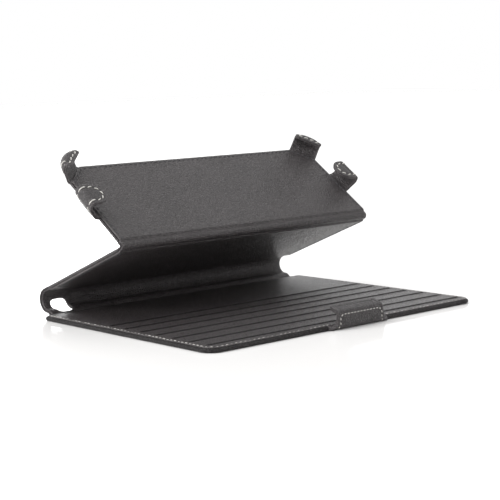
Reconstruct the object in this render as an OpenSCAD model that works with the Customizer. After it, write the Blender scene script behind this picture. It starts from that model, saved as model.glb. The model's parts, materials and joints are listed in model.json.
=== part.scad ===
// Folding tablet case of leather over board, standing open as a landscape easel.
// The cover lies on the table.  A spine joins its rear edge to a leg that leans forward and up,
// and a holder folds back from the top of the leg.  Four straps on the holder hook over the
// tablet's edges, and a tab on the cover's front edge stops the tablet from sliding.
// Origin: centre of the cover's underside.  +X along the long edge, +Y to the spine, +Z up.

/* [Tablet bay] */
// Length of the tablet along its long edge
tablet_length = 241.2; // [190:0.1:300]
// Thickness of the tablet at its glass, with play
tablet_thickness = 9.0; // [7:0.1:12]
// Radius of the tablet's corners seen from the front
tablet_corner_radius = 14; // [9:0.5:16]

/* [Cover] */
// Distance that the cover reaches beyond the tablet at each side
cover_border = 0.9; // [0.5:0.1:6]
// Depth of the cover, front edge to rear edge
cover_depth = 181; // [150:1:220]
// Radius of the cover's two front corners
cover_front_radius = 10; // [4:1:16]
// Radius of the cover's two rear corners
cover_rear_radius = 5; // [3:1:12]
// Number of grooves pressed across the lining
groove_count = 7; // [3:1:8]
// Distance from one groove to the next
groove_pitch = 16.6; // [10:0.2:17]
// Distance of the first groove from the front edge
groove_start = 10; // [6:1:16]
// Width of a groove
groove_width = 1.4; // [0.8:0.1:3]
// Depth of a groove
groove_depth = 0.6; // [0.3:0.1:0.8]

/* [Leather, board and thread] */
// Thickness of the outer leather
leather = 1.2; // [1:0.1:1.4]
// Thickness of the stiffener board
board = 1.2; // [0.8:0.1:2]
// Thickness of the lining
lining = 1.1; // [1:0.1:1.6]
// Width of outer leather turned in around each board
turned_edge = 3; // [2:0.5:5]
// Distance of a seam from the edge that it follows
seam_inset = 3; // [2:0.5:4]
// Thickness of the sewing thread
thread = 0.5; // [0.3:0.1:0.8]

/* [Leg and holder] */
// Distance that the leg, the holder and the spine stay inside the tablet at each side
panel_margin = 6.6; // [6.2:0.1:9]
// Distance that the holder reaches beyond the tablet's top edge
top_margin = 1.6; // [0.3:0.1:3]
// Length of the leg, from the spine to the crease
leg_length = 100; // [80:1:110]
// Length of the holder, from the crease to its free edge
holder_length = 82; // [70:1:90]
// Slope of the leg below level at rest
leg_tilt = 21.5; // [15:0.5:40]
// Slope of the holder above level at rest
holder_tilt = 34.5; // [25:0.5:50]

/* [Spine and crease] */
// Outer radius of the rolled spine
spine_radius = 8.8; // [8.2:0.2:12]
// Height of the rolled spine above the table
spine_lift = 3.1; // [1.5:0.1:5]
// Distance of the spine's centre behind the cover
spine_setback = 6.5; // [5:0.5:10]
// Length of spine leather that bends beside the leg
spine_flex = 7.5; // [5:0.5:12]
// Length that bends on each side of the crease
crease_flex = 3; // [2.5:0.5:6]
// Width of the port window in the spine
window_width = 14; // [8:1:24]
// Distance of the port window from the spine's left end
window_margin = 7; // [5:1:12]
// Height of the port window's upper edge above the table
window_top = 14.5; // [10:0.5:16]

/* [Straps] */
// Width of each side strap
side_strap_width = 20; // [16:1:28]
// Distance from the crease to the middle of a side strap
side_strap_place = 38.5; // [24:0.5:44]
// Length of a side strap's tip over the glass
side_strap_overlap = 14; // [11:0.5:18]
// Length that each holder corner is cut back along both edges
corner_cut = 15; // [12:0.5:18]
// Distance that a corner strap reaches in over the glass
corner_strap_overlap = 6.7; // [4:0.1:8]

/* [Front tab] */
// Distance of the tab from the middle of the front edge
tab_offset = 4.5; // [-20:0.5:20]
// Width of the tab at its foot
tab_width = 45; // [30:1:70]
// Width that the tab loses from foot to fold
tab_taper = 3; // [0:0.5:8]
// Height at which the tab starts to fold
tab_height = 9.5; // [7:0.5:16]
// Length of the tab's tip beyond the fold
tab_tip_length = 6.5; // [5:0.5:12]
// Slope of the tab's tip above level
tab_tip_slope = 20; // [5:1:40]
// Thickness of the stiffener in the tab
tab_core = 0.6; // [0.4:0.1:1]

/* [Hidden] */
$fn = 48;
gap = 0.3;                                // clearance between pieces that move apart
glue_line = 0.05;                         // between a bending strip and the panel it is glued to
lining_inset = 0.5;                       // how far a lining stops short of the leather's edge
tab_lining_inset = 0.4;                   // the same for the narrow tab
cut = 60;                                 // size of a cutting shape, well past what it cuts
cover_width = tablet_length + 2 * cover_border;
panel_width = tablet_length - 2 * panel_margin;
groove_length = cover_width - 2 * (2 * seam_inset + 1);
ply = leather + lining;                   // leather and lining with no board between
panel_thick = leather + board + lining;   // leg, holder and cover
thread_rise = thread / 2;                 // the other half of the thread is sunk in
arc_step = 12;                            // degrees between the points of a sampled bend

cover_rear = cover_depth / 2;
pivot_y = cover_rear + spine_setback;
pivot_z = spine_lift + spine_radius;
crease_turn = 180 - leg_tilt - holder_tilt;   // how far the leather turns at the crease
crease_inside = 0.6;                      // radius of the crease on its outer face
crease_tangent = crease_inside * tan(crease_turn / 2);
strap_play = 0.4;                         // between a strap's wall and the tablet's edge
side_reach = panel_margin + strap_play;   // strap wall beyond the holder's edge
glass_level = panel_thick + tablet_thickness + 0.1;     // outer face of the holder to a tip
root_level = ply + 0.5;                   // inner face of a strap where it leaves the holder
corner_half = corner_cut / sqrt(2);       // half the cut edge, and its depth from the corner
// distance, along the diagonal, from the cut edge out to the centre of the tablet's corner
corner_centre = corner_half
    - (2 * tablet_corner_radius - panel_margin + top_margin) / sqrt(2);
tab_thick = ply + tab_core;
tab_outer = -cover_rear - gap - tab_thick;              // front face of the tab
tab_root = leather + 0.2;                 // height of the strip that the tab folds up from
tab_flare = 4;                            // how far that strip widens at each side, to the cover
tab_bend = 0.8;                           // inner radius of the tab's fold

// ---- Curves: a walk of straights and bends, and the band of leather that follows it ----

// The far end of one move.  A move is [length, 0] or [radius, degrees turned to the left].
function after(at, move, share) =
    move[1] == 0
    ? [at[0] + move[0] * share * cos(at[2]), at[1] + move[0] * share * sin(at[2]), at[2]]
    : let (side = sign(move[1]), turned = at[2] + move[1] * share)
      [at[0] + side * move[0] * (sin(turned) - sin(at[2])),
       at[1] - side * move[0] * (cos(turned) - cos(at[2])), turned];

// Points [across, up, heading] along a list of moves, starting at "at".
function walk(at, moves, i = 0) =
    i == len(moves) ? [at]
    : let (steps = moves[i][1] == 0 ? 1 : ceil(abs(moves[i][1]) / arc_step))
      concat([for (k = [0:steps - 1]) after(at, moves[i], k / steps)],
             walk(after(at, moves[i], 1), moves, i + 1));

// Points of a walk moved sideways, to the left of its heading.
function beside(path, shift) =
    [for (p = path) [p[0] - shift * sin(p[2]), p[1] + shift * cos(p[2])]];

function reversed(list) = [for (i = [len(list) - 1:-1:0]) list[i]];

// The section of a band between two sideways shifts of a walk.
module band(path, near, far) {
    polygon(concat(beside(path, near), reversed(beside(path, far))));
}

// A section drawn in Y and Z, run along X.
module along_x(width) {
    rotate([90, 0, 90]) linear_extrude(width, center = true) children();
}

// ---- Panels: a tray of outer leather, a board in it, and a lining on top ----

module rounded_outline(width, depth, front, rear) {
    x = width / 2;
    y = depth / 2;
    polygon([[front - x, -y], [x - front, -y], [x, front - y], [x, y - rear],
             [x - rear, y], [rear - x, y], [-x, y - rear], [-x, front - y]]);
    for (side = [-1, 1]) {
        translate([side * (x - front), front - y]) circle(front);
        translate([side * (x - rear), y - rear]) circle(rear);
    }
}

// A rectangle with its two front corners cut off at 45 degrees, drawn "inset" smaller.
module cut_outline(width, depth, cut, inset) {
    x = width / 2 - inset;
    y = depth / 2 - inset;
    c = max(cut - inset * (2 - sqrt(2)), 0.01);
    polygon(cut > 0
        ? [[c - x, -y], [x - c, -y], [x, c - y], [x, y], [-x, y], [-x, c - y]]
        : [[-x, -y], [x, -y], [x, y], [-x, y]]);
}

module cover_outline(inset) {
    rounded_outline(cover_width - 2 * inset, cover_depth - 2 * inset,
                    cover_front_radius - inset, max(cover_rear_radius - inset, 0.5));
}

// ---- Cover ----

module cover_outer_leather() color("#55545a") {
    linear_extrude(leather) cover_outline(0);
    translate([0, 0, leather]) linear_extrude(board) difference() {
        cover_outline(0);
        cover_outline(turned_edge);
    }
}

module cover_board() color("#8a7a60")
    translate([0, 0, leather]) linear_extrude(board) cover_outline(turned_edge);

module cover_lining() color("#5f5e64")
    translate([0, 0, leather + board]) difference() {
        linear_extrude(lining) cover_outline(lining_inset);
        for (i = [0:groove_count - 1])
            translate([0, groove_start + i * groove_pitch - cover_rear, lining - groove_depth / 2])
                cube([groove_length, groove_width, groove_depth + 0.001], center = true);
    }

// The seam runs up both sides and along the front, and stops short of the spine.
module cover_thread() color("#dcdcdc")
    translate([0, 0, panel_thick]) linear_extrude(thread_rise) difference() {
        cover_outline(seam_inset);
        cover_outline(seam_inset + thread);
        translate([0, cover_rear]) square([cover_width, 4 * seam_inset], center = true);
    }

// ---- Spine: rises behind the cover, rolls over and runs on to the leg ----

spine_rise = 2 * atan(spine_lift / spine_setback);
spine_rise_radius = spine_setback / 2 / sin(spine_rise);
spine_path = walk([cover_rear, 0, 0], [
    [spine_rise_radius, spine_rise], [spine_rise_radius, -spine_rise],
    [spine_radius, 180 - leg_tilt], [spine_flex - glue_line, 0]]);

window_corner = 3;
window_foot = spine_lift + 1;             // the lower edge's height above the table

// A cutter that starts halfway across the spine's setback and runs out behind it.
module port_window() {
    translate([window_margin + window_width / 2 - panel_width / 2,
               cover_rear + spine_setback / 2, (window_top + window_foot) / 2])
        rotate([-90, 0, 0]) linear_extrude(cut)
            rounded_outline(window_width, window_top - window_foot,
                            window_corner, window_corner);
}

module spine_layer(near, far) difference() {
    along_x(panel_width) band(spine_path, near, far);
    port_window();
}

module spine_leather() color("#55545a") spine_layer(0, leather);
module spine_lining() color("#5f5e64") spine_layer(leather, ply);

// ---- Leg: drawn level above the spine's pivot, then tilted ----

module on_leg() translate([0, pivot_y, pivot_z]) rotate([-leg_tilt, 0, 0]) children();

leg_panel = leg_length - spine_flex - crease_flex;

// Places a panel's outline with its inner face up, hanging below the outer face.
module on_leg_panel(level)
    on_leg() translate([0, -spine_flex - leg_panel / 2, spine_radius - level])
        mirror([0, 0, 1]) children();

module leg_outer_leather() color("#55545a") {
    on_leg_panel(0) linear_extrude(leather) cut_outline(panel_width, leg_panel, 0, 0);
    on_leg_panel(leather) linear_extrude(board) difference() {
        cut_outline(panel_width, leg_panel, 0, 0);
        cut_outline(panel_width, leg_panel, 0, turned_edge);
    }
}

module leg_board() color("#8a7a60")
    on_leg_panel(leather) linear_extrude(board)
        cut_outline(panel_width, leg_panel, 0, turned_edge);

module leg_lining() color("#5f5e64")
    on_leg_panel(leather + board) linear_extrude(lining)
        cut_outline(panel_width, leg_panel, 0, lining_inset);

// One seam down each side of the leg, on its inner face.
module leg_thread() color("#4a494c")
    on_leg_panel(panel_thick) linear_extrude(thread_rise)
        for (side = [-1, 1])
            translate([side * (panel_width / 2 - seam_inset), 0])
                square([thread, leg_panel - 2 * thread], center = true);

// ---- Crease: leather and lining folded sharply between the leg and the holder ----

crease_path = walk(
    [pivot_y - (leg_length - crease_flex) * cos(leg_tilt) + spine_radius * sin(leg_tilt),
     pivot_z + (leg_length - crease_flex) * sin(leg_tilt) + spine_radius * cos(leg_tilt),
     180 - leg_tilt],
    [[crease_flex - crease_tangent, 0], [crease_inside, -crease_turn],
     [crease_flex - crease_tangent - glue_line, 0]]);

module crease_leather() color("#55545a")
    along_x(panel_width) band(crease_path, 0, leather);
module crease_lining() color("#5f5e64")
    along_x(panel_width) band(crease_path, leather, ply);

// ---- Holder: drawn level in front of the crease, outer face up, then folded back ----

module on_holder()
    on_leg() translate([0, -leg_length, spine_radius]) rotate([-crease_turn, 0, 0]) children();

holder_panel = holder_length - crease_flex;

module on_holder_panel(level)
    on_holder() translate([0, -crease_flex - holder_panel / 2, -level])
        mirror([0, 0, 1]) children();

module holder_outline(inset) cut_outline(panel_width, holder_panel, corner_cut, inset);

module holder_outer_leather() color("#55545a") {
    on_holder_panel(0) linear_extrude(leather) holder_outline(0);
    on_holder_panel(leather) linear_extrude(board) difference() {
        holder_outline(0);
        holder_outline(turned_edge);
    }
}

module holder_board() color("#8a7a60")
    on_holder_panel(leather) linear_extrude(board) holder_outline(turned_edge);

module holder_lining() color("#5f5e64")
    on_holder_panel(leather + board) linear_extrude(lining) holder_outline(lining_inset);

module holder_thread() color("#4a494c")
    on_holder_panel(panel_thick) linear_extrude(thread_rise) difference() {
        holder_outline(seam_inset);
        holder_outline(seam_inset + thread);
    }

// ---- Straps: a hook that leaves the holder's edge, climbs the tablet's side and turns in ----

// The hook's inner face: level at first, then up a slope to a wall at "reach", and back in.
// The slope is the one that joins the two sweeps, so the wall stays put for any thickness.
function hook_path(reach, overlap, level = 0) =
    let (sweep = 2.5, turn = 0.8, wall = 1.5,
         out = reach - gap - level - sweep,
         up = glass_level - turn - wall - root_level - sweep,
         slope = atan2(up, out))
    walk([gap, root_level, 0], [
        [max(level, 0.01), 0], [sweep, slope], [norm([out, up]), 0], [sweep, 90 - slope],
        [wall, 0], [turn, 90], [overlap - turn, 0]]);

// A side strap stands beside the crease's right end, its section in X and Z.
module on_side_strap(side)
    on_holder() mirror([side < 0 ? 1 : 0, 0, 0])
        translate([panel_width / 2, -side_strap_place, 0]) mirror([0, 0, 1]) children();

module side_strap_outline() {
    r = side_strap_width / 2;
    tip = side_reach - side_strap_overlap;
    translate([tip + r, 0]) circle(r);
    translate([tip + r, -r]) square([cut, 2 * r]);
}

strap_wall_top = glass_level - 0.5;       // below it a strap's plan is square, not round-ended

module side_strap_layer(side, near, far) on_side_strap(side) intersection() {
    rotate([90, 0, 0]) linear_extrude(side_strap_width, center = true)
        band(hook_path(side_reach, side_strap_overlap), -near, -far);
    union() {
        linear_extrude(cut, center = true) side_strap_outline();
        translate([0, -side_strap_width / 2, strap_wall_top - cut])
            cube([cut, side_strap_width, cut]);
    }
}

module side_strap_thread(side) on_side_strap(side) intersection() {
    rotate([90, 0, 0]) linear_extrude(side_strap_width, center = true)
        band(hook_path(side_reach, side_strap_overlap), -ply, -ply - thread_rise);
    for (edge = [-1, 1])
        translate([0, edge * (side_strap_width / 2 - seam_inset), 0])
            cube([cut, thread, cut], center = true);
}

// A corner strap stands on the 45 degree cut of the holder's corner and is turned about the
// centre of the tablet's rounded corner.
module on_corner_strap(side)
    on_holder() mirror([side < 0 ? 1 : 0, 0, 0])
        translate([panel_width / 2 - corner_cut / 2, -holder_length + corner_cut / 2, 0])
            rotate(-45) mirror([0, 0, 1]) children();

corner_wall = tablet_corner_radius + strap_play;
corner_path = hook_path(corner_wall, corner_wall - gap, max(0, 1 - corner_centre));
corner_tip = corner_centre + corner_wall - corner_strap_overlap;

// The turned hook, kept to the strap's width "half" and to its straight free edge.
module corner_strap_band(near, far) intersection() {
    translate([corner_centre, 0, 0]) rotate_extrude($fn = 96) band(corner_path, -near, -far);
    union() {
        translate([gap, -cut / 2, strap_wall_top - cut]) cube(cut);
        translate([corner_tip, -cut / 2, 0]) cube(cut);
    }
}

module corner_strap_layer(side, near, far) on_corner_strap(side) intersection() {
    corner_strap_band(near, far);
    cube([cut, 2 * corner_half, cut], center = true);
}

module corner_strap_thread(side) on_corner_strap(side) intersection() {
    corner_strap_band(ply, ply + thread_rise);
    for (edge = [-1, 1])
        translate([0, edge * (corner_half - seam_inset), 0])
            cube([cut, thread, cut], center = true);
}

module side_strap_left_leather() color("#55545a") side_strap_layer(-1, lining, ply);
module side_strap_left_lining() color("#5f5e64") side_strap_layer(-1, 0, lining);
module side_strap_left_thread() color("#dcdcdc") side_strap_thread(-1);
module side_strap_right_leather() color("#55545a") side_strap_layer(1, lining, ply);
module side_strap_right_lining() color("#5f5e64") side_strap_layer(1, 0, lining);
module side_strap_right_thread() color("#dcdcdc") side_strap_thread(1);
module corner_strap_left_leather() color("#55545a") corner_strap_layer(-1, lining, ply);
module corner_strap_left_lining() color("#5f5e64") corner_strap_layer(-1, 0, lining);
module corner_strap_left_thread() color("#dcdcdc") corner_strap_thread(-1);
module corner_strap_right_leather() color("#55545a") corner_strap_layer(1, lining, ply);
module corner_strap_right_lining() color("#5f5e64") corner_strap_layer(1, 0, lining);
module corner_strap_right_thread() color("#dcdcdc") corner_strap_thread(1);

// ---- Front tab: folds up from the cover's front edge and over the tablet's bezel ----

module on_tab() translate([tab_offset, 0, 0]) children();

// Front face of the tab, from the foot to the fold.
module tab_outline(low, high, inset) {
    foot = tab_width / 2 - inset;
    head = foot - tab_taper / 2;
    polygon([[-foot, low], [foot, low], [head, high], [-head, high]]);
}

// A plate that stands on the tab's front face, "depth" behind it.
module tab_plate(depth, thick)
    on_tab() translate([0, tab_outer + depth + thick, 0])
        rotate([90, 0, 0]) linear_extrude(thick) children();

module tab_root_leather() color("#55545a")
    on_tab() translate([0, tab_outer, 0]) linear_extrude(tab_root)
        polygon([[-tab_width / 2, 0], [tab_width / 2, 0],
                 [tab_width / 2 + tab_flare, -cover_rear - tab_outer],
                 [-tab_width / 2 - tab_flare, -cover_rear - tab_outer]]);

tab_foot = tab_root + gap;
tab_seam_inset = 2;
core_rim = 1;                             // leather turned in above and below the stiffener
core_side = 1.5;                          // and at its two ends

module tab_core_outline() tab_outline(tab_root + core_rim, tab_height - core_rim, core_side);

module tab_riser_leather() color("#55545a") {
    tab_plate(0, leather) tab_outline(tab_foot, tab_height, 0);
    tab_plate(leather, tab_core) difference() {
        tab_outline(tab_foot, tab_height, 0);
        tab_core_outline();
    }
}

module tab_stiffener() color("#8a7a60") tab_plate(leather, tab_core) tab_core_outline();

module tab_riser_lining() color("#5f5e64")
    tab_plate(leather + tab_core, lining) tab_outline(tab_foot, tab_height, tab_lining_inset);

// One seam up both sides and along the fold.
module tab_thread() color("#dcdcdc")
    tab_plate(-thread_rise, thread_rise) difference() {
        tab_outline(tab_foot + thread, tab_height, tab_seam_inset);
        tab_outline(tab_foot, tab_height - thread, tab_seam_inset + thread);
    }

tab_head = tab_width - tab_taper;
tab_fold_turn = 90 - tab_tip_slope;
tab_fold_path = walk([tab_outer, tab_height, 90], [[tab_bend + tab_thick, -tab_fold_turn]]);
tab_tip_start = tab_fold_path[len(tab_fold_path) - 1];
tab_tip_path = walk(after(tab_tip_start, [gap, 0], 1), [[tab_tip_length, 0]]);

module tab_fold_leather() color("#55545a")
    on_tab() along_x(tab_head) band(tab_fold_path, 0, -leather);
module tab_fold_lining() color("#5f5e64")
    on_tab() along_x(tab_head - 2 * tab_lining_inset) band(tab_fold_path, -leather, -tab_thick);
module tab_tip_leather() color("#55545a")
    on_tab() along_x(tab_head) band(tab_tip_path, 0, -leather);
module tab_tip_lining() color("#5f5e64")
    on_tab() along_x(tab_head - 2 * tab_lining_inset) band(tab_tip_path, -leather, -ply);

cover_outer_leather();
cover_board();
cover_lining();
cover_thread();
spine_leather();
spine_lining();
leg_outer_leather();
leg_board();
leg_lining();
leg_thread();
crease_leather();
crease_lining();
holder_outer_leather();
holder_board();
holder_lining();
holder_thread();
side_strap_left_leather();
side_strap_left_lining();
side_strap_left_thread();
side_strap_right_leather();
side_strap_right_lining();
side_strap_right_thread();
corner_strap_left_leather();
corner_strap_left_lining();
corner_strap_left_thread();
corner_strap_right_leather();
corner_strap_right_lining();
corner_strap_right_thread();
tab_root_leather();
tab_riser_leather();
tab_stiffener();
tab_riser_lining();
tab_thread();
tab_fold_leather();
tab_fold_lining();
tab_tip_leather();
tab_tip_lining();
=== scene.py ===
import json
from math import atan, cos, degrees, pi, radians, sin, sqrt, tan

import bmesh
import bpy
import numpy as np
from mathutils import Euler, Matrix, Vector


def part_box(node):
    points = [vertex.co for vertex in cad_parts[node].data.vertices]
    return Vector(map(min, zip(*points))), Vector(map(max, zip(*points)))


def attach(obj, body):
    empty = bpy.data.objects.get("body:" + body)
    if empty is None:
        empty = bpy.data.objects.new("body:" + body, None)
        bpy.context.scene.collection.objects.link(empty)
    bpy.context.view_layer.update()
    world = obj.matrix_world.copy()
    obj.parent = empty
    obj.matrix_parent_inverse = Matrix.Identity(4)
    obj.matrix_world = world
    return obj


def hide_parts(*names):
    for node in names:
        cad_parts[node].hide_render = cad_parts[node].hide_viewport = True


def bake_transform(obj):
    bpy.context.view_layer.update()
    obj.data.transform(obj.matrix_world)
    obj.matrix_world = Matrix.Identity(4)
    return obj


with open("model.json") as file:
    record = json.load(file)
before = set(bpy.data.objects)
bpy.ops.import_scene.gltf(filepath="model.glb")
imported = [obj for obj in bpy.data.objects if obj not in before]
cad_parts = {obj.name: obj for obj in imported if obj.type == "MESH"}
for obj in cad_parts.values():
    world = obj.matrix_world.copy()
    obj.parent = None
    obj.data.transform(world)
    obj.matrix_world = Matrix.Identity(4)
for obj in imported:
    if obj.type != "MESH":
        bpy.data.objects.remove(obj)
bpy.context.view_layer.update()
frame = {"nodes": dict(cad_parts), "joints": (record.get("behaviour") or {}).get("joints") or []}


# ---------------------------------------------------------------------------------------------
# The table and the studio.  The case stands on a plain white sheet with a faint gloss, under a
# large soft box, with the camera at the height of a person seated across the room.

MM = 0.001


def linear(code):
    """The linear colour of an sRGB hex code such as #55545a, with full alpha."""
    parts = [int(code[i:i + 2], 16) / 255 for i in (1, 3, 5)]
    return [p / 12.92 if p <= 0.04045 else ((p + 0.055) / 1.055) ** 2.4 for p in parts] + [1.0]


def add(tree, kind, inputs=None, **settings):
    """Adds one node.  An input is given a value, or another node's output to link."""
    made = tree.nodes.new(kind)
    for name, value in settings.items():
        setattr(made, name, value)
    for name, value in (inputs or {}).items():
        if isinstance(value, bpy.types.NodeSocket):
            tree.links.new(value, made.inputs[name])
        else:
            made.inputs[name].default_value = value
    return made


def new_material(name):
    """An empty node material, its tree and its principled shader."""
    made = bpy.data.materials.new(name)
    made.use_nodes = True
    shader = made.node_tree.nodes["Principled BSDF"]
    return made, made.node_tree, shader


camera_place = (-650.07, -735.49, 169.17)
camera_pitch, camera_yaw, camera_roll = 7.30, 41.09, 1.64

camera_data = bpy.data.cameras.new("camera")
camera_data.lens = 102.37
camera_data.sensor_width = 36.0
camera = bpy.data.objects.new("camera", camera_data)
facing = Euler((radians(90 - camera_pitch), 0, radians(-camera_yaw))).to_matrix()
camera.matrix_world = (
    Matrix.Translation([c * MM for c in camera_place])
    @ (facing @ Matrix.Rotation(radians(-camera_roll), 3, "Z")).to_4x4()
)
bpy.context.scene.collection.objects.link(camera)
bpy.context.scene.camera = camera
bpy.context.scene.view_settings.view_transform = "Standard"


def soft_box(name, place, target, size, watts):
    """A square soft light at place, turned to face target, all in metres."""
    data = bpy.data.lights.new(name, "AREA")
    data.size = size
    data.energy = watts
    lamp = bpy.data.objects.new(name, data)
    lamp.location = place
    aim = np.array(target, float) - np.array(place, float)
    flat = sqrt(aim[0] ** 2 + aim[1] ** 2)
    lamp.rotation_euler = (pi / 2 + np.arctan2(aim[2], flat), 0, np.arctan2(-aim[0], aim[1]))
    bpy.context.scene.collection.objects.link(lamp)


soft_box("overhead_box", (-0.5, 0.3, 1.3), (0, 0, 0), 0.9, 5)
soft_box("left_box", (-1.3, 0.5, 0.5), (0, 0, 0.05), 0.5, 11)
soft_box("rear_box", (0.9, 2.0, 0.7), (0, 0, 0.05), 1.1, 14)

world = bpy.data.worlds.new("white_room")
world.use_nodes = True
world.node_tree.nodes["Background"].inputs["Color"].default_value = (1, 1, 1, 1)
world.node_tree.nodes["Background"].inputs["Strength"].default_value = 1.0
bpy.context.scene.world = world

# Coated white card: nearly white, and glossy enough for a blurred reflection at a low angle.
card, _, card_shader = new_material("coated_white_card")
card_shader.inputs["Base Color"].default_value = linear("#fffefd")
card_shader.inputs["Roughness"].default_value = 0.1
card_shader.inputs["Specular IOR Level"].default_value = 0.25

bpy.ops.mesh.primitive_plane_add(size=12, location=(0, 0, -0.00005))
table = bpy.context.object
table.name = "table_top"
table.data.materials.append(card)


# ---------------------------------------------------------------------------------------------
# Cover, outside: one hide of grained black leather, glued under the stiffener board and turned
# in round its edge, so that the edge is a smooth roll.  Its underside lies flat on the table.

def spaced(low, high, step, rim, count=10):
    """Positions from low to high: count of them in each rim, at the rim's width times the square
    of their share, and the rest evenly, about step apart."""
    near = rim * (np.arange(count) / count) ** 2
    inner = np.linspace(low + rim, high - rim, max(2, round((high - low - 2 * rim) / step) + 1))
    return np.concatenate([low + near, inner, (high - near)[::-1]])


def sheet_of(rows, half, columns):
    """A flat sheet: points (u, v) with v one of rows and u a column's share of the half width
    there, and the four-sided faces between them."""
    v, c = np.meshgrid(rows, columns, indexing="ij")
    u = c * half(v)
    n = np.arange(len(rows) * len(columns)).reshape(v.shape)
    faces = np.stack([n[:-1, :-1], n[:-1, 1:], n[1:, 1:], n[1:, :-1]], -1).reshape(-1, 4)
    return u.ravel(), v.ravel(), faces


def finish_mesh(name, points, faces, material, **attributes):
    """An object at the origin with these points, in millimetres, merged, closed and turned to
    face outwards, with a sharp edge only where its faces meet at more than 50 degrees."""
    data = bpy.data.meshes.new(name)
    data.from_pydata((np.asarray(points) * MM).tolist(), [], [list(f) for f in faces])
    for key, values in attributes.items():
        layer = data.attributes.new(key, "FLOAT", "POINT")
        layer.data.foreach_set("value", values.astype(np.float32))
    work = bmesh.new()
    work.from_mesh(data)
    bmesh.ops.remove_doubles(work, verts=work.verts, dist=2e-6)
    bmesh.ops.dissolve_degenerate(work, edges=work.edges, dist=1e-7)
    bmesh.ops.recalc_face_normals(work, faces=work.faces)
    work.to_mesh(data)
    work.free()
    data.shade_smooth()
    data.set_sharp_from_angle(angle=radians(50))
    data.materials.append(material)
    made = bpy.data.objects.new(name, data)
    bpy.context.scene.collection.objects.link(made)
    return made


def skin(name, sheet, low, high, inside, rim, place, material, pressed=0.0):
    """A closed piece of leather over a flat sheet.  It lies between the heights low and high,
    and within rim of its outline, which is "inside" away, it closes in a half round:
    height = middle -+ half thickness * sqrt(1 - (1 - inside / rim)^2).
    "pressed" is 1 where the leather is darkened: by a hot tool and along a
    darker edge, and as painted shade in grooves, seam dips and the valley where hide meets lining."""
    u, v, faces = sheet
    low, high = np.broadcast_to(low, u.shape), np.broadcast_to(high, u.shape)
    swell = np.sqrt(1 - (1 - np.clip(inside / rim, 0, 1)) ** 2)
    middle, half = (low + high) / 2, (high - low) / 2
    points = np.concatenate([place(u, v, middle - half * swell), place(u, v, middle + half * swell)])
    edges = np.concatenate([faces[:, [k, (k + 1) % 4]] for k in range(4)])
    _, first, count = np.unique(np.sort(edges, 1), axis=0, return_index=True, return_counts=True)
    a, b = edges[first[count == 1]].T
    sides = np.stack([a, b, b + len(u), a + len(u)], 1)
    worn = np.tile(np.exp(-np.clip(inside, 0, None) / 1.2), 2)
    marks = np.tile(np.broadcast_to(pressed, u.shape), 2)
    return finish_mesh(name, points, np.concatenate([faces, faces[:, ::-1] + len(u), sides]),
                       material, worn=worn, pressed=marks)


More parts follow.
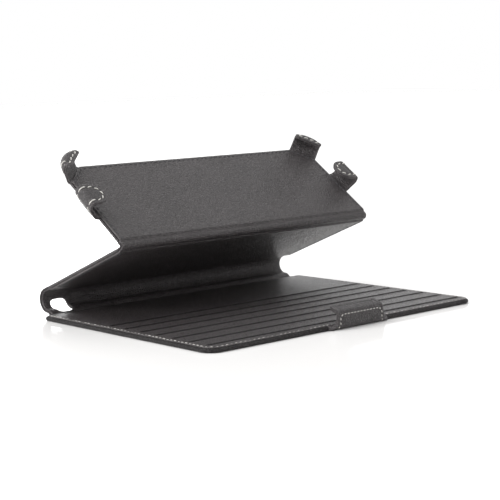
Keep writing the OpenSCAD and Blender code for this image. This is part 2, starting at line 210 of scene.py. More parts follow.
def leather(name, tone, worn_tone, grain, relief, roughness):
    """Grained leather.  Cells of the grain's size, bent by noise, are raised by relief
    millimetres with rougher valleys between them, darkened as painted shade; a broad noise
    varies the hide's tone, and specks of the grain's size lighten and darken its colour as painted
    glints and dull or polish its shine; the attribute "worn" lightens the edges, and
    "pressed" darkens and dulls the marks of a hot tool and a darker edge, and
    paints shade in hollows."""
    made, tree, shader = new_material(name)
    place = add(tree, "ShaderNodeTexCoord").outputs["Object"]
    per_grain = 1 / (grain * MM)
    drift = add(tree, "ShaderNodeTexNoise",
                {"Vector": place, "Scale": 0.5 * per_grain, "Detail": 2.0})
    bent = add(tree, "ShaderNodeMix", {0: 0.00035, 4: place, 5: drift.outputs["Color"]},
               data_type="VECTOR")
    cells = add(tree, "ShaderNodeTexVoronoi", {"Vector": bent.outputs[1], "Scale": per_grain},
                feature="DISTANCE_TO_EDGE")
    rounded = add(tree, "ShaderNodeMapRange", {"Value": cells.outputs["Distance"], "From Min": 0.0,
                  "From Max": 0.28, "To Min": 0.0, "To Max": 1.0}, interpolation_type="SMOOTHSTEP")
    pores = add(tree, "ShaderNodeTexNoise",
                {"Vector": place, "Scale": 2.2 * per_grain, "Detail": 3.0})
    height = add(tree, "ShaderNodeMath",
                 {0: pores.outputs["Fac"], 1: 0.35, 2: rounded.outputs["Result"]},
                 operation="MULTIPLY_ADD")
    patch = add(tree, "ShaderNodeTexNoise",
                {"Vector": place, "Scale": 28.0, "Detail": 4.0, "Roughness": 0.6})
    edge = add(tree, "ShaderNodeAttribute", attribute_name="worn")
    rub = add(tree, "ShaderNodeMath", {0: edge.outputs["Fac"], 1: patch.outputs["Fac"]},
              operation="MULTIPLY")
    base = add(tree, "ShaderNodeMix", {0: rub.outputs[0], 6: linear(tone), 7: linear(worn_tone)},
               data_type="RGBA")
    shade = add(tree, "ShaderNodeMapRange", {"Value": patch.outputs["Fac"], "From Min": 0.3,
                "From Max": 0.7, "To Min": 0.86, "To Max": 1.14})
    # Grain valleys are darker in colour: painted shade in the hollows.
    valley = add(tree, "ShaderNodeMapRange", {"Value": height.outputs[0], "From Min": 0.1,
                 "From Max": 1.1, "To Min": 0.55, "To Max": 1.06})
    # Specks of the grain's size: painted glints, lighter and darker, in the colour, and a varied
    # polish in the shine.
    glint_noise = add(tree, "ShaderNodeTexNoise",
                 {"Vector": place, "Scale": 1.1 * per_grain, "Detail": 2.0})
    painted_glint_and_polish = add(tree, "ShaderNodeMapRange", {"Value": glint_noise.outputs["Fac"], "From Min": 0.4,
                "From Max": 0.66, "To Min": 0.84, "To Max": 1.24})
    mottle_and_painted_glint = add(tree, "ShaderNodeMath", {0: shade.outputs["Result"], 1: painted_glint_and_polish.outputs["Result"]},
                 operation="MULTIPLY")
    both = add(tree, "ShaderNodeMath", {0: mottle_and_painted_glint.outputs[0], 1: valley.outputs["Result"]},
               operation="MULTIPLY")
    # This darkening is partly the marks of a hot tool and a darker edge, and partly painted shade in
    # grooves, seam dips and valleys.
    press = add(tree, "ShaderNodeAttribute", attribute_name="pressed")
    marks_and_shade_darkening = add(tree, "ShaderNodeMapRange",
                 {"Value": press.outputs["Fac"], "To Min": 1.0, "To Max": 0.16})
    dark = add(tree, "ShaderNodeMath", {0: both.outputs[0], 1: marks_and_shade_darkening.outputs["Result"]},
               operation="MULTIPLY")
    colour = add(tree, "ShaderNodeVectorMath", {0: base.outputs[2], "Scale": dark.outputs[0]},
                 operation="SCALE")
    tree.links.new(colour.outputs["Vector"], shader.inputs["Base Color"])
    rough = add(tree, "ShaderNodeMapRange", {"Value": height.outputs[0], "From Min": 0.0,
                "From Max": 1.2, "To Min": min(roughness + 0.22, 1.0), "To Max": roughness})
    tree.links.new(rough.outputs["Result"], shader.inputs["Roughness"])
    bump = add(tree, "ShaderNodeBump",
               {"Strength": 0.9, "Distance": relief * MM, "Height": height.outputs[0]})
    tree.links.new(bump.outputs["Normal"], shader.inputs["Normal"])
    # The shine is dulled under the same marks, so the painted shade stays dark in the shine too.
    polish = add(tree, "ShaderNodeMath", {0: marks_and_shade_darkening.outputs["Result"], 1: 0.55},
                 operation="MULTIPLY")
    sheen = add(tree, "ShaderNodeMath", {0: polish.outputs[0], 1: painted_glint_and_polish.outputs["Result"]},
                operation="MULTIPLY")
    tree.links.new(sheen.outputs[0], shader.inputs["Specular IOR Level"])
    return made


# Pebbled, drum-dyed cowhide with a semi-matt finish.  Real grain is about 0.7 mm; it is drawn
# at 1.5 mm so that it shows.
hide = leather("pebbled_black_cowhide", "#3a3637", "#514c4d", 1.5, 0.36, 0.34)

cover_width, cover_depth = [2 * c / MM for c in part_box("cover_outer_leather")[1][:2]]
front_radius, rear_radius = 10.0, 5.0
panel_thick = 3.5
edge_rim = 4.2                              # width of the finer mesh along an edge


def past_corner(x, y):
    """Signed distance past a square corner: hypot(x, y) beyond both sides, and the nearer side's
    own distance, negative, within them."""
    return np.hypot(np.maximum(x, 0), np.maximum(y, 0)) + np.minimum(np.maximum(x, y), 0)


def arc(r, into):
    """Half width of a circle of radius r, into deep from its edge: sqrt(r^2 - (r - into)^2)."""
    return np.sqrt(np.maximum(r ** 2 - (r - into) ** 2, 0))


def cover_inside(u, v, inset=0.0):
    """Distance in from the cover's outline, a rectangle with two round corners at each end:
    radius - hypot(the part beyond the corner's centre), or the nearer side."""
    r = np.where(v < 0, front_radius, rear_radius)
    x = np.abs(u) - (cover_width / 2 - r)
    y = np.abs(v) - (cover_depth / 2 - r)
    return np.maximum(r - past_corner(x, y) - inset, 0)


def cover_half(v, inset=0.0):
    """Half the cover's width at v, less an inset: the corner's circle within its radius."""
    r = np.where(v < 0, front_radius, rear_radius) - inset
    into = np.clip(cover_depth / 2 - inset - np.abs(v), 0, r)
    return cover_width / 2 - inset - r + arc(r, into)


def flat_place(u, v, height):
    """A point of the cover: u across, v to the rear, height above the table."""
    return np.stack([u, v, np.broadcast_to(height, u.shape)], -1)


def cover_rows(inset, step, extra=()):
    """Rows from the front to the rear edge, close together round the corners."""
    end = cover_depth / 2 - inset
    ends = spaced(-end, end, step, edge_rim, 16)
    bend = end - np.arange(edge_rim + 0.3, front_radius + 1, 0.7)
    return np.unique(np.round(np.concatenate([ends, bend, -bend, extra]), 4))


cover_columns = spaced(-1, 1, 4.0 / (cover_width / 2), edge_rim / (cover_width / 2), 16)
rows = cover_rows(0, 4.0)
sheet = sheet_of(rows, cover_half, cover_columns)
inside = cover_inside(*sheet[:2])
# The turned edge is darker, and darkest in the valley where it meets the lining, where the dark is
# painted shade.
valley = np.exp(-((inside - 1.75) / 0.5) ** 2)
dark_edge_and_painted_shade = np.maximum(valley, 0.75 * np.exp(-((inside / 2.2) ** 4)))
cover_hide = skin("cover_hide", sheet, 0.0, 2.8 - 0.7 * valley, inside, 1.3, flat_place, hide, dark_edge_and_painted_shade)
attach(cover_hide, "cover")
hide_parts("cover_outer_leather")


# ---------------------------------------------------------------------------------------------
# Cover, inside: a lining of finer and thinner leather, glued over the board and the turned edge.
# Seven grooves are pressed across it for the tablet's lower edge to stand in.

groove_count, groove_pitch, groove_start = 7, 16.6, 10.0
groove_width, groove_depth = 1.6, 0.8
groove_half = cover_width / 2 - 7.0         # a groove stops seven millimetres from the side
seam_inset = 3.1
lining_inset, cover_liner_inset = 0.9, 1.4  # how far a lining stops short of the hide's edge


def channel(inside, depth, width=0.55):
    """The dip that a seam pulls into the leather along its own distance from the edge:
    depth * exp(-((inside - seam inset) / width)^2)."""
    return depth * np.exp(-(((inside - seam_inset) / width) ** 2))


def soft_noise(u, v, size, seed):
    """A smooth wave pattern between about -1 and 1, from six sines of mixed directions, with
    its features about size millimetres across."""
    turns = np.random.default_rng(seed).uniform(0, 2 * pi, (6, 2))
    total = 0
    for heading, phase in turns:
        total = total + np.sin((u * cos(heading) + v * sin(heading)) * 2 * pi / size + phase)
    return total / 3.5


# Fine-grained split leather with a polished surface, a little shinier than the outer hide.  Its
# grain would be finer than the hide's; it is drawn at 1.6 mm so that it shows.
lining_leather = leather("fine_lining_leather", "#403b3c", "#6f6a6b", 1.6, 0.48, 0.27)

groove_lines = [groove_start + k * groove_pitch - cover_depth / 2 for k in range(groove_count)]
fine = np.array([0, 0.25, 0.5, 0.75, 1.0, 1.3, 1.6, 2.0, 2.5, 3.2])
groove_rows = [g + o for g in groove_lines for o in np.concatenate([-fine, fine])]
rows = cover_rows(cover_liner_inset, 2.0, groove_rows)
columns = spaced(-1, 1, 2.5 / 121, 9.0 / 121, 26)
sheet = sheet_of(rows, lambda v: cover_half(v, cover_liner_inset), columns)
u, v = sheet[:2]
inside = cover_inside(u, v, cover_liner_inset)
top = np.full(u.shape, panel_thick) - channel(inside + cover_liner_inset, 0.22)
top = top + 0.03 * soft_noise(u, v, 34, 1)
# The seam's dip is darkened as painted shade.
pressed = channel(inside + cover_liner_inset, 0.5, 0.4)
# Each groove has a low ridge on both sides; it and its shoulders are darkened, partly as the hot
# tool's mark and partly as painted shade in the groove.
for line in groove_lines:
    beyond = np.hypot(v - line, np.maximum(np.abs(u) - groove_half, 0)) / (groove_width / 2)
    top = top - groove_depth * np.exp(-(beyond ** 4)) + 0.3 * np.exp(-((beyond - 2.5) / 0.8) ** 2)
    pressed = np.maximum(pressed, np.exp(-((beyond / 2.2) ** 6)))
# The lining's very edge, down in the valley by the hide, is darkened as painted shade.
marks = np.maximum(pressed, 0.8 * np.exp(-inside / 0.12))
cover_liner = skin("cover_liner", sheet, 1.9, top, inside, 0.6, flat_place, lining_leather, marks)
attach(cover_liner, "cover")
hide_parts("cover_lining")


# ---------------------------------------------------------------------------------------------
# Cover seam: one row of thick pale polyester lockstitch, three millimetres in from the edge.
# Each stitch dives into its own needle hole at both ends and leans a little across the seam.

def along(moves, start, s):
    """Position and heading at distance s along a path of straights [length, 0] and bends
    [radius, degrees to the left], from start = (across, up, heading in degrees)."""
    s = np.asarray(s, float)
    across, up, heading = start[0], start[1], radians(start[2])
    x, y, a = np.full(s.shape, across), np.full(s.shape, up), np.full(s.shape, heading)
    done = 0.0
    for size, turn in moves:
        bend = radians(turn)
        length = size * abs(bend) if turn else size
        part = np.clip(s - done, 0, length)
        if turn:
            side = np.sign(bend)
            swing = side * part / size
            dx = side * size * (np.sin(heading + swing) - sin(heading))
            dy = -side * size * (np.cos(heading + swing) - cos(heading))
            ex = side * size * (sin(heading + bend) - sin(heading))
            ey = -side * size * (cos(heading + bend) - cos(heading))
        else:
            swing = 0 * part
            dx, dy = part * cos(heading), part * sin(heading)
            ex, ey = length * cos(heading), length * sin(heading)
        here = s >= done
        x, y = np.where(here, across + dx, x), np.where(here, up + dy, y)
        a = np.where(here, heading + swing, a)
        across, up, heading, done = across + ex, up + ey, heading + bend, done + length
    return x, y, a


def length_of(moves):
    """Length of a path of straights and bends."""
    return sum(size * abs(radians(turn)) if turn else size for size, turn in moves)


def stitches(name, moves, start, place, height, outward, material, pitch=4.3, long=3.1,
             thick=0.34, lean=0.28, skip=0.0, uneven=0.0):
    """One row of stitches along a path drawn on a leather's sheet.  Every stitch is a tube round
    a line that rises as sin(pi t)^0.5 between its needle holes, with the thread's radius
    shrinking at its ends; place turns sheet positions and heights into points.  Each stitch is
    pulled in by up to "uneven" millimetres."""
    total = length_of(moves)
    count = int((total - 2 * skip) / pitch)
    middle = skip + (np.arange(count) + 0.5) * (total - 2 * skip) / count
    steps, sides = 9, 8
    t = np.linspace(0, 1, steps)
    s = middle[:, None] + (t - 0.5) * long
    u, v, a = along(moves, start, s)
    side = (t - 0.5) * lean * 2
    u, v = u - side * np.sin(a), v + side * np.cos(a)
    pulled = np.random.default_rng(count).uniform(0, uneven, (count, 1))
    level = height - outward * pulled + 0 * u
    centre = place(u, v, level)
    up = place(u, v, level + outward * 0.01) - centre
    up /= np.linalg.norm(up, axis=-1, keepdims=True)
    run = np.gradient(centre, axis=1)
    run /= np.linalg.norm(run, axis=-1, keepdims=True)
    across = np.cross(run, up)
    rise = np.sin(pi * t) ** 0.5
    radius = thick * (0.35 + 0.65 * np.sin(pi * t) ** 0.4)
    centre = centre + up * (0.42 * thick * rise - 0.55 * thick * (1 - rise))[None, :, None]
    angle = np.arange(sides) * 2 * pi / sides
    ring = (np.cos(angle)[:, None] * across[:, :, None] + np.sin(angle)[:, None] * up[:, :, None])
    points = centre[:, :, None] + ring * radius[None, :, None, None]
    index = np.arange(count * steps * sides).reshape(count, steps, sides)
    around = np.roll(index, -1, 2)
    faces = np.stack([index[:, :-1], around[:, :-1], around[:, 1:], index[:, 1:]], -1).reshape(-1, 4)
    caps = np.concatenate([index[:, 0, ::-1], index[:, -1]])
    lay = 0.9                               # length of thread in which the plies turn once
    twist = np.broadcast_to(angle / (2 * pi), index.shape) + s[:, :, None] / lay
    return finish_mesh(name, points.reshape(-1, 3), faces.tolist() + caps.tolist(), material,
                       twist=twist.ravel())


def thread_material(name, tone, dark):
    """Twisted thread: the attribute "twist" counts turns along and round each stitch, and a sine
    of it sinks the line between two plies and darkens it there as painted shade."""
    made, tree, shader = new_material(name)
    twist = add(tree, "ShaderNodeAttribute", attribute_name="twist")
    turn = add(tree, "ShaderNodeMath", {0: twist.outputs["Fac"], 1: 2 * pi}, operation="MULTIPLY")
    wave = add(tree, "ShaderNodeMath", {0: turn.outputs[0]}, operation="SINE")
    ply = add(tree, "ShaderNodeMapRange", {"Value": wave.outputs[0], "From Min": -1.0,
              "From Max": 1.0, "To Min": 0.0, "To Max": 1.0})
    place = add(tree, "ShaderNodeTexCoord").outputs["Object"]
    fuzz = add(tree, "ShaderNodeTexNoise", {"Vector": place, "Scale": 900.0, "Detail": 2.0})
    mixed = add(tree, "ShaderNodeMath", {0: ply.outputs["Result"], 1: fuzz.outputs["Fac"]},
                operation="MULTIPLY")
    # Towards the dark tone along the line between plies: painted shade.
    colour = add(tree, "ShaderNodeMix", {0: mixed.outputs[0], 6: linear(dark), 7: linear(tone)},
                 data_type="RGBA")
    tree.links.new(colour.outputs[2], shader.inputs["Base Color"])
    bump = add(tree, "ShaderNodeBump",
               {"Strength": 0.5, "Distance": 0.1 * MM, "Height": ply.outputs["Result"]})
    tree.links.new(bump.outputs["Normal"], shader.inputs["Normal"])
    shader.inputs["Roughness"].default_value = 0.75
    shader.inputs["Sheen Weight"].default_value = 0.25
    return made


# Bonded polyester, off-white, with the slight shine of a waxed thread.
pale_thread = thread_material("waxed_pale_thread", "#f4f2ee", "#b9b6b0")

seam_radius = front_radius - seam_inset
seam_stop = 4.5                             # the seam ends this far short of the rear edge
seam_side = cover_depth - seam_inset - seam_radius - seam_stop
cover_stitches = stitches(
    "cover_stitches", [[seam_side, 0], [seam_radius, 90], [cover_width - 2 * front_radius, 0],
                       [seam_radius, 90], [seam_side, 0]],
    (seam_inset - cover_width / 2, cover_depth / 2 - seam_stop, -90), flat_place,
    panel_thick - 0.2, 1, pale_thread, pitch=3.7, long=2.2, thick=0.3, uneven=0.34)
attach(cover_stitches, "cover")
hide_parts("cover_thread")


# ---------------------------------------------------------------------------------------------
# Back, outside: one strip of the same hide runs from under the cover's rear edge, up round the
# rolled spine, over the leg's board and into the crease.  A port window is cut near its end.

joints = {j["name"]: j for j in frame["joints"]}


def at(joint):
    """A joint's place in millimetres."""
    return np.array(joints[joint]["pos_m"]) / MM


spine_centre, crease = at("spine_fold"), at("back_crease")
slope_run = at("corner_strap_right_flex") - at("side_strap_right_flex")
holder_tilt = np.arctan2(slope_run[2], slope_run[1])
reach = crease - spine_centre
spine_radius = 8.8
leg_length = sqrt(reach[1] ** 2 + reach[2] ** 2 - spine_radius ** 2)
leg_tilt = np.arctan2(reach[2], -reach[1]) - atan(spine_radius / leg_length)

panel_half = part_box("leg_outer_leather")[1][0] / MM
spine_lift = spine_centre[2] - spine_radius
spine_setback = spine_centre[1] - cover_depth / 2
spine_flex, crease_flex, crease_inside = 7.5, 3.0, 0.6
tuck = 2.0                                  # length glued in under the cover's rear edge
holder_length = 82.0

rise_turn = 2 * degrees(atan(spine_lift / spine_setback))
rise_radius = spine_setback / 2 / sin(radians(rise_turn))
crease_turn = 180 - degrees(leg_tilt) - degrees(holder_tilt)
crease_run = crease_flex - crease_inside * tan(radians(crease_turn) / 2)
leg_panel = leg_length - spine_flex - crease_flex
back_moves = [
    [tuck, 0], [rise_radius, rise_turn], [rise_radius, -rise_turn],
    [spine_radius, 180 - degrees(leg_tilt)], [spine_flex + leg_panel + crease_run, 0],
    [crease_inside, -crease_turn], [crease_run + holder_length - crease_flex, 0]]
back_start = (cover_depth / 2 - tuck, 0.25, 0)
arc_start = length_of(back_moves[:3])
arc_end = length_of(back_moves[:4])
leg_start = arc_end + spine_flex
leg_end = leg_start + leg_panel
crease_end = length_of(back_moves[:6]) + crease_run
back_end = length_of(back_moves)


def back_place(u, v, height):
    """A point of the back: u across, v along the outer face, height in from that face."""
    y, z, heading = along(back_moves, back_start, v)
    return np.stack([u, y - height * np.sin(heading), z + height * np.cos(heading)], -1)


def ramp(v, a, b):
    """0 before a, 1 after b, and a smooth step between."""
    t = np.clip((v - a) / (b - a), 0, 1)
    return t * t * (3 - 2 * t)


def board_under(v):
    """1 where a stiffener board lies under the leather, 0 where leather and lining only bend."""
    leg = ramp(v, leg_start - 1.5, leg_start + 1) - ramp(v, leg_end - 1, leg_end + 1)
    return leg + ramp(v, crease_end - 0.8, crease_end + 1.2)


def hide_thickness(v, valley):
    """The hide with its turned edge: 1.25 mm where it bends, 2.4 mm round a board, and half a
    millimetre less in the valley."""
    return 1.25 + 1.15 * board_under(v) - 0.5 * valley


window_width, window_margin = 14.0, 7.0
window_middle = window_margin + window_width / 2 - panel_half
window_low, window_high = arc_start - 3.2, arc_start + 12.5


def windowed(lines_u, lines_v):
    """The strip's sheet with a window.  Cells inside a box are left out, and six rings of faces
    run from the box's outline to the window's, the superellipse |x/a|^4 + |y/b|^4 = 1."""
    a, b = window_width / 2, (window_high - window_low) / 2
    middle_v = (window_low + window_high) / 2
    i0, i1 = np.searchsorted(lines_u, [window_middle - a - 2.2, window_middle + a + 2.2])
    j0, j1 = np.searchsorted(lines_v, [middle_v - b - 2.2, middle_v + b + 2.2])
    v, u = np.meshgrid(lines_v, lines_u, indexing="ij")
    n = np.arange(u.size).reshape(u.shape)
    faces = np.stack([n[:-1, :-1], n[:-1, 1:], n[1:, 1:], n[1:, :-1]], -1)
    keep = np.ones(faces.shape[:2], bool)
    keep[j0:j1, i0:i1] = False
    loop = np.concatenate([n[j0, i0:i1], n[j0:j1, i1], n[j1, i1:i0:-1], n[j1:j0:-1, i0]])
    u, v = u.ravel(), v.ravel()
    x, y = u[loop] - window_middle, v[loop] - middle_v
    scale = (np.abs(x / a) ** 4 + np.abs(y / b) ** 4) ** -0.25
    shares = (np.arange(9) / 9) ** 1.6
    grow = (scale[None] * (1 - shares[:, None]) + shares[:, None])
    ring_u, ring_v = window_middle + x * grow, middle_v + y * grow
    ring = np.concatenate([u.size + np.arange(ring_u.size).reshape(ring_u.shape), loop[None]])
    turn = np.roll(ring, -1, 1)
    ring_faces = np.stack([ring[:-1], turn[:-1], turn[1:], ring[1:]], -1).reshape(-1, 4)
    u, v = np.concatenate([u, ring_u.ravel()]), np.concatenate([v, ring_v.ravel()])
    faces = np.concatenate([faces[keep], ring_faces])
    used, faces = np.unique(faces, return_inverse=True)
    return u[used], v[used], faces.reshape(-1, 4)


def window_inside(u, v):
    """Distance out from the window's edge, from the superellipse's own measure."""
    a, b = window_width / 2, (window_high - window_low) / 2
    x, y = (u - window_middle) / a, (v - (window_low + window_high) / 2) / b
    measure = (np.abs(x) ** 4 + np.abs(y) ** 4) ** 0.25
    return np.maximum(measure - 1, 0) * min(a, b)


def edge_valley(inside):
    """1 along the line where the hide meets the lining, and 0 a millimetre to either side."""
    return np.exp(-((inside - 1.2) / 0.4) ** 2)


def wrinkles(u, v):
    """Soft puckers of the spine: ripples that run out from the port window and fade."""
    x, y = u - window_middle - window_width / 2, v - arc_start
    near = np.exp(-(np.maximum(x, 0) / 26) ** 2) * np.exp(-((y - 6) / 9) ** 2) * (x > -1)
    return near * (0.55 * np.sin(y / 1.6 + x / 9) + 0.3 * np.sin(y / 0.9 - x / 5))


lines_u = spaced(-panel_half, panel_half, 2.4, edge_rim, 14)
lines_v = np.unique(np.round(np.concatenate([
    spaced(0, leg_start, 0.9, 1.2, 6), spaced(leg_start, leg_end, 3.0, 2.0, 5)]), 4))
sheet = windowed(lines_u, lines_v)
u, v = sheet[:2]
side = panel_half - np.abs(u)
inside = np.minimum(np.minimum(side, v), window_inside(u, v))
low = channel(side, 0.12) * board_under(v) + 0.15 * wrinkles(u, v)
# The valley where the hide meets the lining is sunk, and darkened as painted shade.
valley = edge_valley(side) * board_under(v)
back_hide = skin("back_hide", sheet, low, low + hide_thickness(v, valley), inside,
                 0.6 + 0.6 * board_under(v), back_place, hide, valley)
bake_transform(back_hide)
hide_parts("spine_leather", "leg_outer_leather")


# ---------------------------------------------------------------------------------------------
# Back, inside: the lining of the spine and the leg, glued to the hide and over the board.  It
# puckers beside the window, where the roll is tightest.

def lining_faces(v, side):
    """Heights of the lining's glued face and its open face, which lie higher over a board and dip
    along the seam."""
    over = board_under(v)
    return 1.05 + 0.95 * over, 2.3 + 1.2 * over - channel(side, 0.16) * over


lining_end = panel_half - lining_inset
sheet = windowed(spaced(-lining_end, lining_end, 2.0, edge_rim, 14), lines_v)
u, v = sheet[:2]
side = lining_end - np.abs(u)
inside = np.minimum(np.minimum(side, v), window_inside(u, v))
base, top = lining_faces(v, side + lining_inset)
top = top + wrinkles(u, v) + 0.05 * soft_noise(u, v, 22, 2)
back_liner = skin("back_liner", sheet, base, np.maximum(top, base + 0.5), inside, 0.6, back_place,
                  lining_leather)
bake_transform(back_liner)
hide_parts("spine_lining", "leg_lining")

# The leg's two side seams are sewn in black thread, which hardly shows.
tonal_thread = thread_material("black_bonded_thread", "#5a595d", "#2e2d30")
leg_seams = [
    stitches("leg_stitches_" + word, [[leg_panel - 2, 0]], (x, leg_start + 1, 90), back_place,
             panel_thick - 0.1, 1, tonal_thread)
    for word, x in (("left", seam_inset - panel_half), ("right", panel_half - seam_inset))]
for seam in leg_seams:
    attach(seam, "leg")
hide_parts("leg_thread")


# ---------------------------------------------------------------------------------------------
# Holder: the hide and the lining turn sharply back on themselves at the crease and run up
# behind the tablet.  Its two upper corners are cut off at 45 degrees to let the straps out.

corner_cut = 15.0


def holder_half(v):
    """Half the holder's width at v: full, then in by one for one beside the cut corners."""
    return panel_half - np.maximum(0, v - (back_end - corner_cut))


def holder_inside(u, v, inset=0.0):
    """Distance in from the holder's sides, cut corners and free edge."""
    side = panel_half - np.abs(u)
    cut = (side + back_end - v - corner_cut) / sqrt(2)
    return np.maximum(np.minimum(np.minimum(side, cut), back_end - v) - inset, 0)


def holder_sheet(inset):
    """The flat sheet of the crease and the holder, drawn inset smaller."""
    rows = np.unique(np.round(np.concatenate([
        np.linspace(leg_end, crease_end, 22),
        spaced(crease_end, back_end - inset, 2.4, edge_rim, 14),
        np.linspace(back_end - corner_cut - 1, back_end - edge_rim, 12)]), 4))
    return sheet_of(rows, lambda v: holder_half(v) - inset * (1 + 0.41 * (v > back_end - corner_cut)),
                    spaced(-1, 1, 2.4 / panel_half, edge_rim / panel_half, 14))


crease_bend = [back_place(np.zeros(1), np.array([v]), np.zeros(1))[0] * MM
               for v in (leg_end + 0.2, crease_end - 0.2)]

sheet = holder_sheet(0.0)
u, v = sheet[:2]
inside = holder_inside(u, v)
low = channel(inside, 0.12) * board_under(v)
# The valley where the hide meets the lining is sunk, and darkened as painted shade.
valley = edge_valley(inside) * board_under(v)
holder_hide = skin("holder_hide", sheet, low, hide_thickness(v, valley), inside,
                   0.6 + 0.6 * board_under(v), back_place, hide, valley)
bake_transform(holder_hide)
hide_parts("crease_leather", "holder_outer_leather")

sheet = holder_sheet(lining_inset)
u, v = sheet[:2]
inside = holder_inside(u, v, lining_inset)
base, top = lining_faces(v, inside + lining_inset)
holder_liner = skin("holder_liner", sheet, base, top + 0.04 * soft_noise(u, v, 26, 3), inside, 0.6,
                    back_place, lining_leather)
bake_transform(holder_liner)
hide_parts("crease_lining", "holder_lining")

# One black seam runs up both sides, round the cut corners and along the free edge.
edge_run = holder_length - crease_flex - corner_cut - 0.41 * seam_inset
cut_run = (corner_cut - 0.59 * seam_inset) * sqrt(2)
top_run = 2 * (panel_half - corner_cut - 0.41 * seam_inset)
sharp = [0.01, 45]
holder_stitches = stitches(
    "holder_stitches", [[edge_run, 0], sharp, [cut_run, 0], sharp, [top_run, 0], sharp,
                        [cut_run, 0], sharp, [edge_run, 0]],
    (panel_half - seam_inset, crease_end, 90), back_place, panel_thick - 0.1, 1, tonal_thread)
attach(holder_stitches, "holder")
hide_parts("holder_thread")


# ---------------------------------------------------------------------------------------------
# Straps: each is a two-ply tongue of hide and lining, sewn round its edge in pale thread.  It
# leaves the holder between hide and lining, climbs the tablet's tapered side and hooks over it.

ply = 2.3
tablet_thick, tablet_half, tablet_radius, top_margin = 9.0, 120.6, 14.0, 1.6
strap_play = 0.4                            # between a strap's wall and the tablet's edge
glass_level = panel_thick + tablet_thick + 0.1
root_level = ply + 0.5
strap_tuck = 3.0

up_slope = np.array([0, cos(holder_tilt), sin(holder_tilt)])
off_glass = np.array([0, -sin(holder_tilt), cos(holder_tilt)])


def hook(wall, overlap):
    """The path of a hook's inner face in a plane square to the edge that it leaves: out, up a
    slope to a wall, and back in over the glass; and where it starts.  The slope joins the two
    sweeps: its angle is atan2(rise, run) between them."""
    sweep, turn, rise, level = 2.5, 1.1, 1.2, 0.3
    out = wall - level - sweep
    up = glass_level - turn - rise - root_level - sweep
    slope = degrees(np.arctan2(up, out))
    return [[strap_tuck + level, 0], [sweep, slope], [np.hypot(out, up), 0], [sweep, 90 - slope],
            [rise, 0], [turn, 90], [overlap - turn, 0]], (-strap_tuck, root_level, 0)


def strap(name, joint, outward, lateral, wall, overlap, half_at, inside_of, seam, bulge):
    """Both plies and the seam of one strap.  On the sheet u runs across the strap and v along
    it; a point is the joint's place + outward * p + lateral * u + the glass's normal * q."""
    moves, start = hook(wall, overlap)
    total = length_of(moves)
    origin = at(joint)

    def place(u, v, height):
        p, q, heading = along(moves, start, v)
        shift = height - ply
        p, q = p - shift * np.sin(heading), q + shift * np.cos(heading)
        p = p - bulge(u, p, v, total)
        return (origin + p[..., None] * outward + np.asarray(u)[..., None] * lateral
                + q[..., None] * off_glass)

    rows = np.unique(np.round(spaced(0, total, 0.55, 3.0, 12), 4))
    columns = spaced(-1, 1, 0.8 / 11, 4.2 / 11, 14)
    made = []
    for part, low, high, pull, material in (
            ("hide", 0.0, 1.3, 0.38, hide), ("liner", 1.15, 2.3, 0.0, lining_leather)):
        inset = 0.35 if part == "liner" else 0.0
        sheet = sheet_of(rows * (total - inset) / total, lambda v: half_at(v, total, inset), columns)
        u, v = sheet[:2]
        inside = inside_of(u, v, total, inset)
        within = np.clip((inside - seam_inset) / 2.5, 0, 1)
        buckle = np.exp(-((v - total + overlap - 2.2) / 1.7) ** 2)
        swell = within * (0.5 * buckle - 0.16) if part == "hide" else 0.0
        made.append(skin(name + "_" + part, sheet, low + channel(inside, pull, 0.8) + swell, high,
                         inside, 0.62, place, material))
    seam_moves, seam_start = seam(total)
    made.append(stitches(name + "_stitches", seam_moves, seam_start, place, 0.16, -1, pale_thread,
                         pitch=4.6, long=3.2, thick=0.42, lean=0.45, skip=0.6))
    near, far = [(origin + outward * reach_out) * MM for reach_out in (0.2, 3.4)]
    for piece, node, slot in zip(made, ("leather", "lining", "thread"),
                                 ("outer_leather", "lining_leather", "sewing_thread")):
        if node == "thread":
            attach(piece, name)
        else:
            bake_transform(piece)
            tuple(near)
            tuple(far)
        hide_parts(name + "_" + node)


# Side straps: 20 mm wide, flaring where they leave the holder, with a round tongue on the glass.
side_half, side_overlap, flare = 10.0, 14.0, 2.0
side_wall = tablet_half + strap_play - panel_half


def side_strap_half(v, total, inset):
    """Half the tongue's width: wider by a fading flare at the root, and a half circle at the tip."""
    body = side_half - inset + flare * np.exp(-v / 3.2)
    r = side_half - inset
    into = np.clip(total - inset - v, 0, r)
    return np.where(v > total - inset - r, arc(r, into), body)


def side_strap_inside(u, v, total, inset):
    """Distance in from the tongue's outline."""
    r = side_half - inset
    tip = np.hypot(u, np.maximum(v - (total - inset - r), 0))
    edge = side_strap_half(v, total, inset) - np.abs(u)
    return np.maximum(np.where(v > total - inset - r, r - tip, edge), 0)


def side_seam(total):
    """Up one edge, round the tip and down the other."""
    r = side_half - seam_inset
    run = total - side_half - strap_tuck - 0.8
    return [[run, 0], [r, 180], [run, 0]], (r, strap_tuck + 0.8, 90)


def no_bulge(u, p, v, total):
    """A side strap is straight across."""
    return 0 * u


x_axis = np.array([1.0, 0, 0])
for word, side in (("left", -1), ("right", 1)):
    strap("side_strap_" + word, f"side_strap_{word}_flex", side * x_axis, side * up_slope, side_wall,
          side_overlap, side_strap_half, side_strap_inside, side_seam, no_bulge)

# Corner straps: square-ended, on the 45 degree cuts, bent round the tablet's rounded corner.
corner_half = corner_cut / sqrt(2)
corner_centre = corner_half - (panel_half - tablet_half + 2 * tablet_radius + top_margin) / sqrt(2)
corner_wall = tablet_radius + strap_play + corner_centre
corner_overlap = 6.7
end_radius = 2.2


def corner_strap_body(v, inset):
    """Half the strap's width without its round end: wider by a fading flare at the root."""
    return corner_half - inset + 1.5 * np.exp(-v / 2.5)


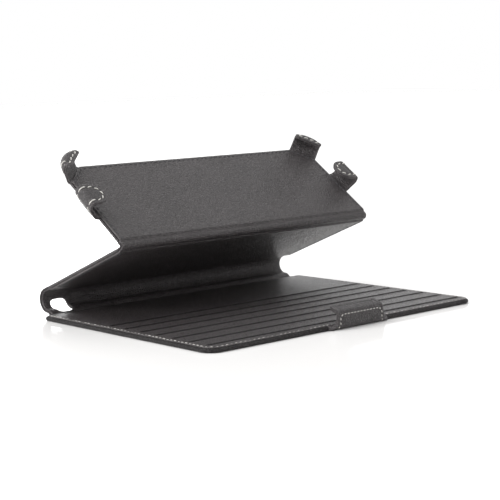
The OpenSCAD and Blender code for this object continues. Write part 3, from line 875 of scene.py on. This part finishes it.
def corner_strap_half(v, total, inset):
    """Half the strap's width, rounded off at its end."""
    into = np.clip(total - inset - v, 0, end_radius)
    return corner_strap_body(v, inset) - end_radius + arc(end_radius, into)


def corner_strap_inside(u, v, total, inset):
    """Distance in from the strap's outline."""
    x = np.abs(u) - (corner_strap_body(v, inset) - end_radius)
    y = v - (total - inset - end_radius)
    return np.maximum(end_radius - past_corner(x, y), 0)


def corner_seam(total):
    """Up one edge, along the square end and down the other."""
    x, run = corner_half - seam_inset, total - seam_inset - strap_tuck - 1.3
    return [[run, 0], [0.8, 90], [2 * x - 1.6, 0], [0.8, 90], [run, 0]], (x, strap_tuck + 0.5, 90)


def corner_bulge(u, p, v, total):
    """How far a corner strap curls in beside its middle: the sagitta R - sqrt(R^2 - u^2) of the
    tablet's corner, in full at the wall and fading to nothing at both ends."""
    r = tablet_radius + 2.7
    sagitta = r - np.sqrt(np.maximum(r ** 2 - u ** 2, 0))
    back = total - corner_overlap
    share = np.where(v < back, np.clip(p / corner_wall, 0, 1),
                     np.clip((p - corner_wall + corner_overlap) / corner_overlap, 0, 1))
    return sagitta * share


for word, side in (("left", -1), ("right", 1)):
    outward = (side * x_axis + up_slope) / sqrt(2)
    lateral = (-side * x_axis + up_slope) / sqrt(2)
    strap("corner_strap_" + word, f"corner_strap_{word}_flex", outward, lateral * side, corner_wall,
          corner_overlap, corner_strap_half, corner_strap_inside, corner_seam, corner_bulge)


# ---------------------------------------------------------------------------------------------
# Front tab: a tongue of hide and lining with a stiffener in it.  It comes out from under the
# cover, folds up in front of the tablet's edge and folds again over the glass's border.

tab_centre = at("tab_fold")
tab_outer = tab_centre[1]
tab_thick, tab_height, tab_slope, tab_tip = 2.9, 9.5, 20.0, 6.8
tab_half, tab_taper, tab_flare = 22.5, 1.5, 5.0
foot_radius, fold_radius = tab_thick + 0.5, tab_thick + 0.8
tab_tuck, tip_radius = 4.0, 2.5
foot_run = -cover_depth / 2 + tab_tuck - (tab_outer + foot_radius)
foot_end = foot_run + foot_radius * pi / 2
riser_end = foot_end + tab_height - foot_radius
fold_end = riser_end + fold_radius * radians(90 - tab_slope)
tab_end = fold_end + tab_tip
tab_moves = [[foot_run, 0], [foot_radius, -90], [tab_height - foot_radius, 0],
             [fold_radius, tab_slope - 90], [tab_tip, 0]]
tab_start = (-cover_depth / 2 + tab_tuck, 0.12, 180)
tab_mid = (foot_end + riser_end) / 2


def tab_place(u, v, height):
    """A point of the tab: u across, v along its front face, height in from that face."""
    y, z, heading = along(tab_moves, tab_start, v)
    x = tab_centre[0] + u
    x, y, z = np.broadcast_arrays(x, y + height * np.sin(heading), z - height * np.cos(heading))
    return np.stack([x, y, z], -1)


def tab_body(v):
    """Half the tab's width without its round corners: a flare that fades up from the foot, and a
    slight taper to the fold."""
    body = tab_half - tab_taper * np.clip((v - foot_run) / (riser_end - foot_run), 0, 1)
    return body + tab_flare * np.exp(-np.maximum(v - foot_run - 1.5, 0) / 1.6)


def tab_width(v, inset):
    """Half the tab's width, with two rounded corners at the tip."""
    into = np.clip(tab_end - inset - v, 0, tip_radius)
    return tab_body(v) - inset - tip_radius + arc(tip_radius, into)


def tab_inside(u, v, inset):
    """Distance in from the tab's outline."""
    x, y = np.abs(u) - (tab_body(v) - inset - tip_radius), v - (tab_end - inset - tip_radius)
    return np.maximum(tip_radius - past_corner(x, y), 0)


tab_middle = 1.4                            # depth of the tab's middle from its front face
foot_bend = [np.array([0, tab_outer + tab_middle, z]) * MM for z in (0.6, 3.2)]
fold_bend = [tab_place(np.zeros(1), np.array([v]), np.array([tab_middle]))[0] * MM
             for v in (riser_end + 0.1, fold_end - 0.1)]
for part, low_v, high_v, body_a, body_b, bend in (
        ("riser", 0.0, tab_mid, "cover", "tab_riser", foot_bend),
        ("tip", tab_mid, tab_end, "tab_riser", "tab_tip", fold_bend)):
    for layer, low, high, inset, material in (
            ("hide", 0.0, 1.5, 0.0, hide), ("liner", 1.3, tab_thick, 0.35, lining_leather)):
        rows = np.linspace(low_v, high_v, 34)
        if part == "tip":
            rim = tip_radius + 0.1
            rows = np.concatenate([np.linspace(low_v, high_v - inset - rim, 30),
                                   high_v - inset - rim * (1 - np.linspace(0, 1, 14)[1:]) ** 2])
        columns = spaced(-1, 1, 1.2 / tab_half, edge_rim / tab_half, 14)
        sheet = sheet_of(rows, lambda v: tab_width(v, inset), columns)
        u, v = sheet[:2]
        inside = tab_inside(u, v, inset)
        crest = 0.22 * np.exp(-(((v - riser_end - 1.6) / 0.8) ** 2)) * (np.abs(u) < tab_half - 3.2)
        pull = channel(inside, 0.22, 0.7) + crest if layer == "hide" else 0.0
        piece = skin(f"tab_{part}_{layer}", sheet, low + pull, high, inside, 0.7, tab_place, material)
        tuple(bend[0])
        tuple(bend[1])
        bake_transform(piece)
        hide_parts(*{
            ("riser", "hide"): ("tab_root_leather", "tab_riser_leather"),
            ("riser", "liner"): ("tab_riser_lining",),
            ("tip", "hide"): ("tab_fold_leather", "tab_tip_leather"),
            ("tip", "liner"): ("tab_fold_lining", "tab_tip_lining")}[part, layer])

# The seam climbs one side, runs along under the fold and comes down the other side.
seam_foot = foot_run + 2.4
seam_top = riser_end + 1.6
seam_x = tab_half - tab_taper - 1.9
seam_climb = seam_top - seam_foot - 8.4
seam_corner = 3.4
tab_stitches = stitches(
    "tab_stitches", [[1.6, 0], [5, -34], [seam_climb, 0], [seam_corner, 90],
                     [2 * (seam_x - seam_corner), 0],
                     [seam_corner, 90], [seam_climb, 0], [5, -34], [1.6, 0]],
    (seam_x + 1.8, seam_foot - 0.3, 124), tab_place, 0.16, -1, pale_thread,
    pitch=2.9, long=1.75, thick=0.3, lean=0.15)
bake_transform(tab_stitches)
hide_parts("tab_thread")


# ---------------------------------------------------------------------------------------------
# Stiffener boards: grey-brown pressed fibre board, one in the cover, the leg, the holder and
# the tab.  They keep the leather flat and are closed in on all sides.

fibre_board, tree, shader = new_material("pressed_fibre_board")
place = add(tree, "ShaderNodeTexCoord").outputs["Object"]
grain = add(tree, "ShaderNodeTexNoise",
            {"Vector": place, "Scale": 700.0, "Detail": 6.0, "Roughness": 0.7})
tint = add(tree, "ShaderNodeMix",
           {0: grain.outputs["Fac"], 6: linear("#6e6251"), 7: linear("#9a8c74")}, data_type="RGBA")
tree.links.new(tint.outputs[2], shader.inputs["Base Color"])
bump = add(tree, "ShaderNodeBump",
           {"Strength": 0.4, "Distance": 0.1 * MM, "Height": grain.outputs["Fac"]})
tree.links.new(bump.outputs["Normal"], shader.inputs["Normal"])
shader.inputs["Roughness"].default_value = 0.9

for name in ("cover_board", "leg_board", "holder_board", "tab_stiffener"):
    board = frame["nodes"][name]
    board.data.materials.clear()
    board.data.materials.append(fibre_board)


bpy.context.view_layer.update()
